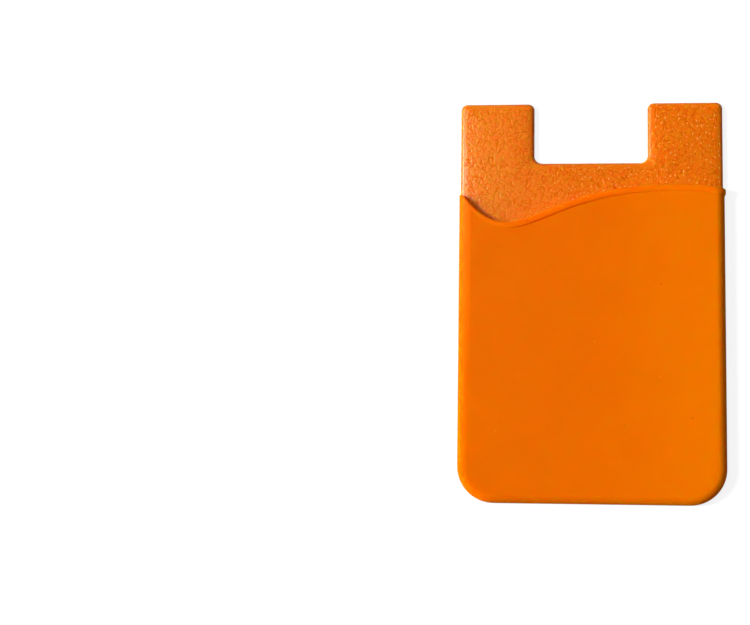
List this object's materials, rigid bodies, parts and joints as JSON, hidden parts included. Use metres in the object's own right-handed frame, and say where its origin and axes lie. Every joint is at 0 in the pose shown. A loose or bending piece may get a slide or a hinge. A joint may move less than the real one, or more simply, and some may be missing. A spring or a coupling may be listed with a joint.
{
  "type": "stick-on phone card holder",
  "caption": "Soft moulded card pocket with a wavy beaded mouth and a thumb notch between two grained tabs, with an adhesive back for a phone.",
  "frame": {"origin": "middle of the holder on the surface it lies on, under its release liner", "axes": "+X to the holder's right, +Y up the holder from the closed bottom to the tabs, +Z out of the front face"},
  "size_m": [0.0576, 0.087, 0.0034],
  "materials": {
    "silicone": "matte moulded silicone, orange, with a fine leather grain on the bare panel",
    "tape": "double-sided adhesive film, translucent off-white",
    "liner": "coated release paper, satin off-white, unprinted"
  },
  "bodies": {
    "root": {"pocket_body": "silicone", "adhesive_pad": "tape", "release_liner": "liner"}
  },
  "joints": []
}
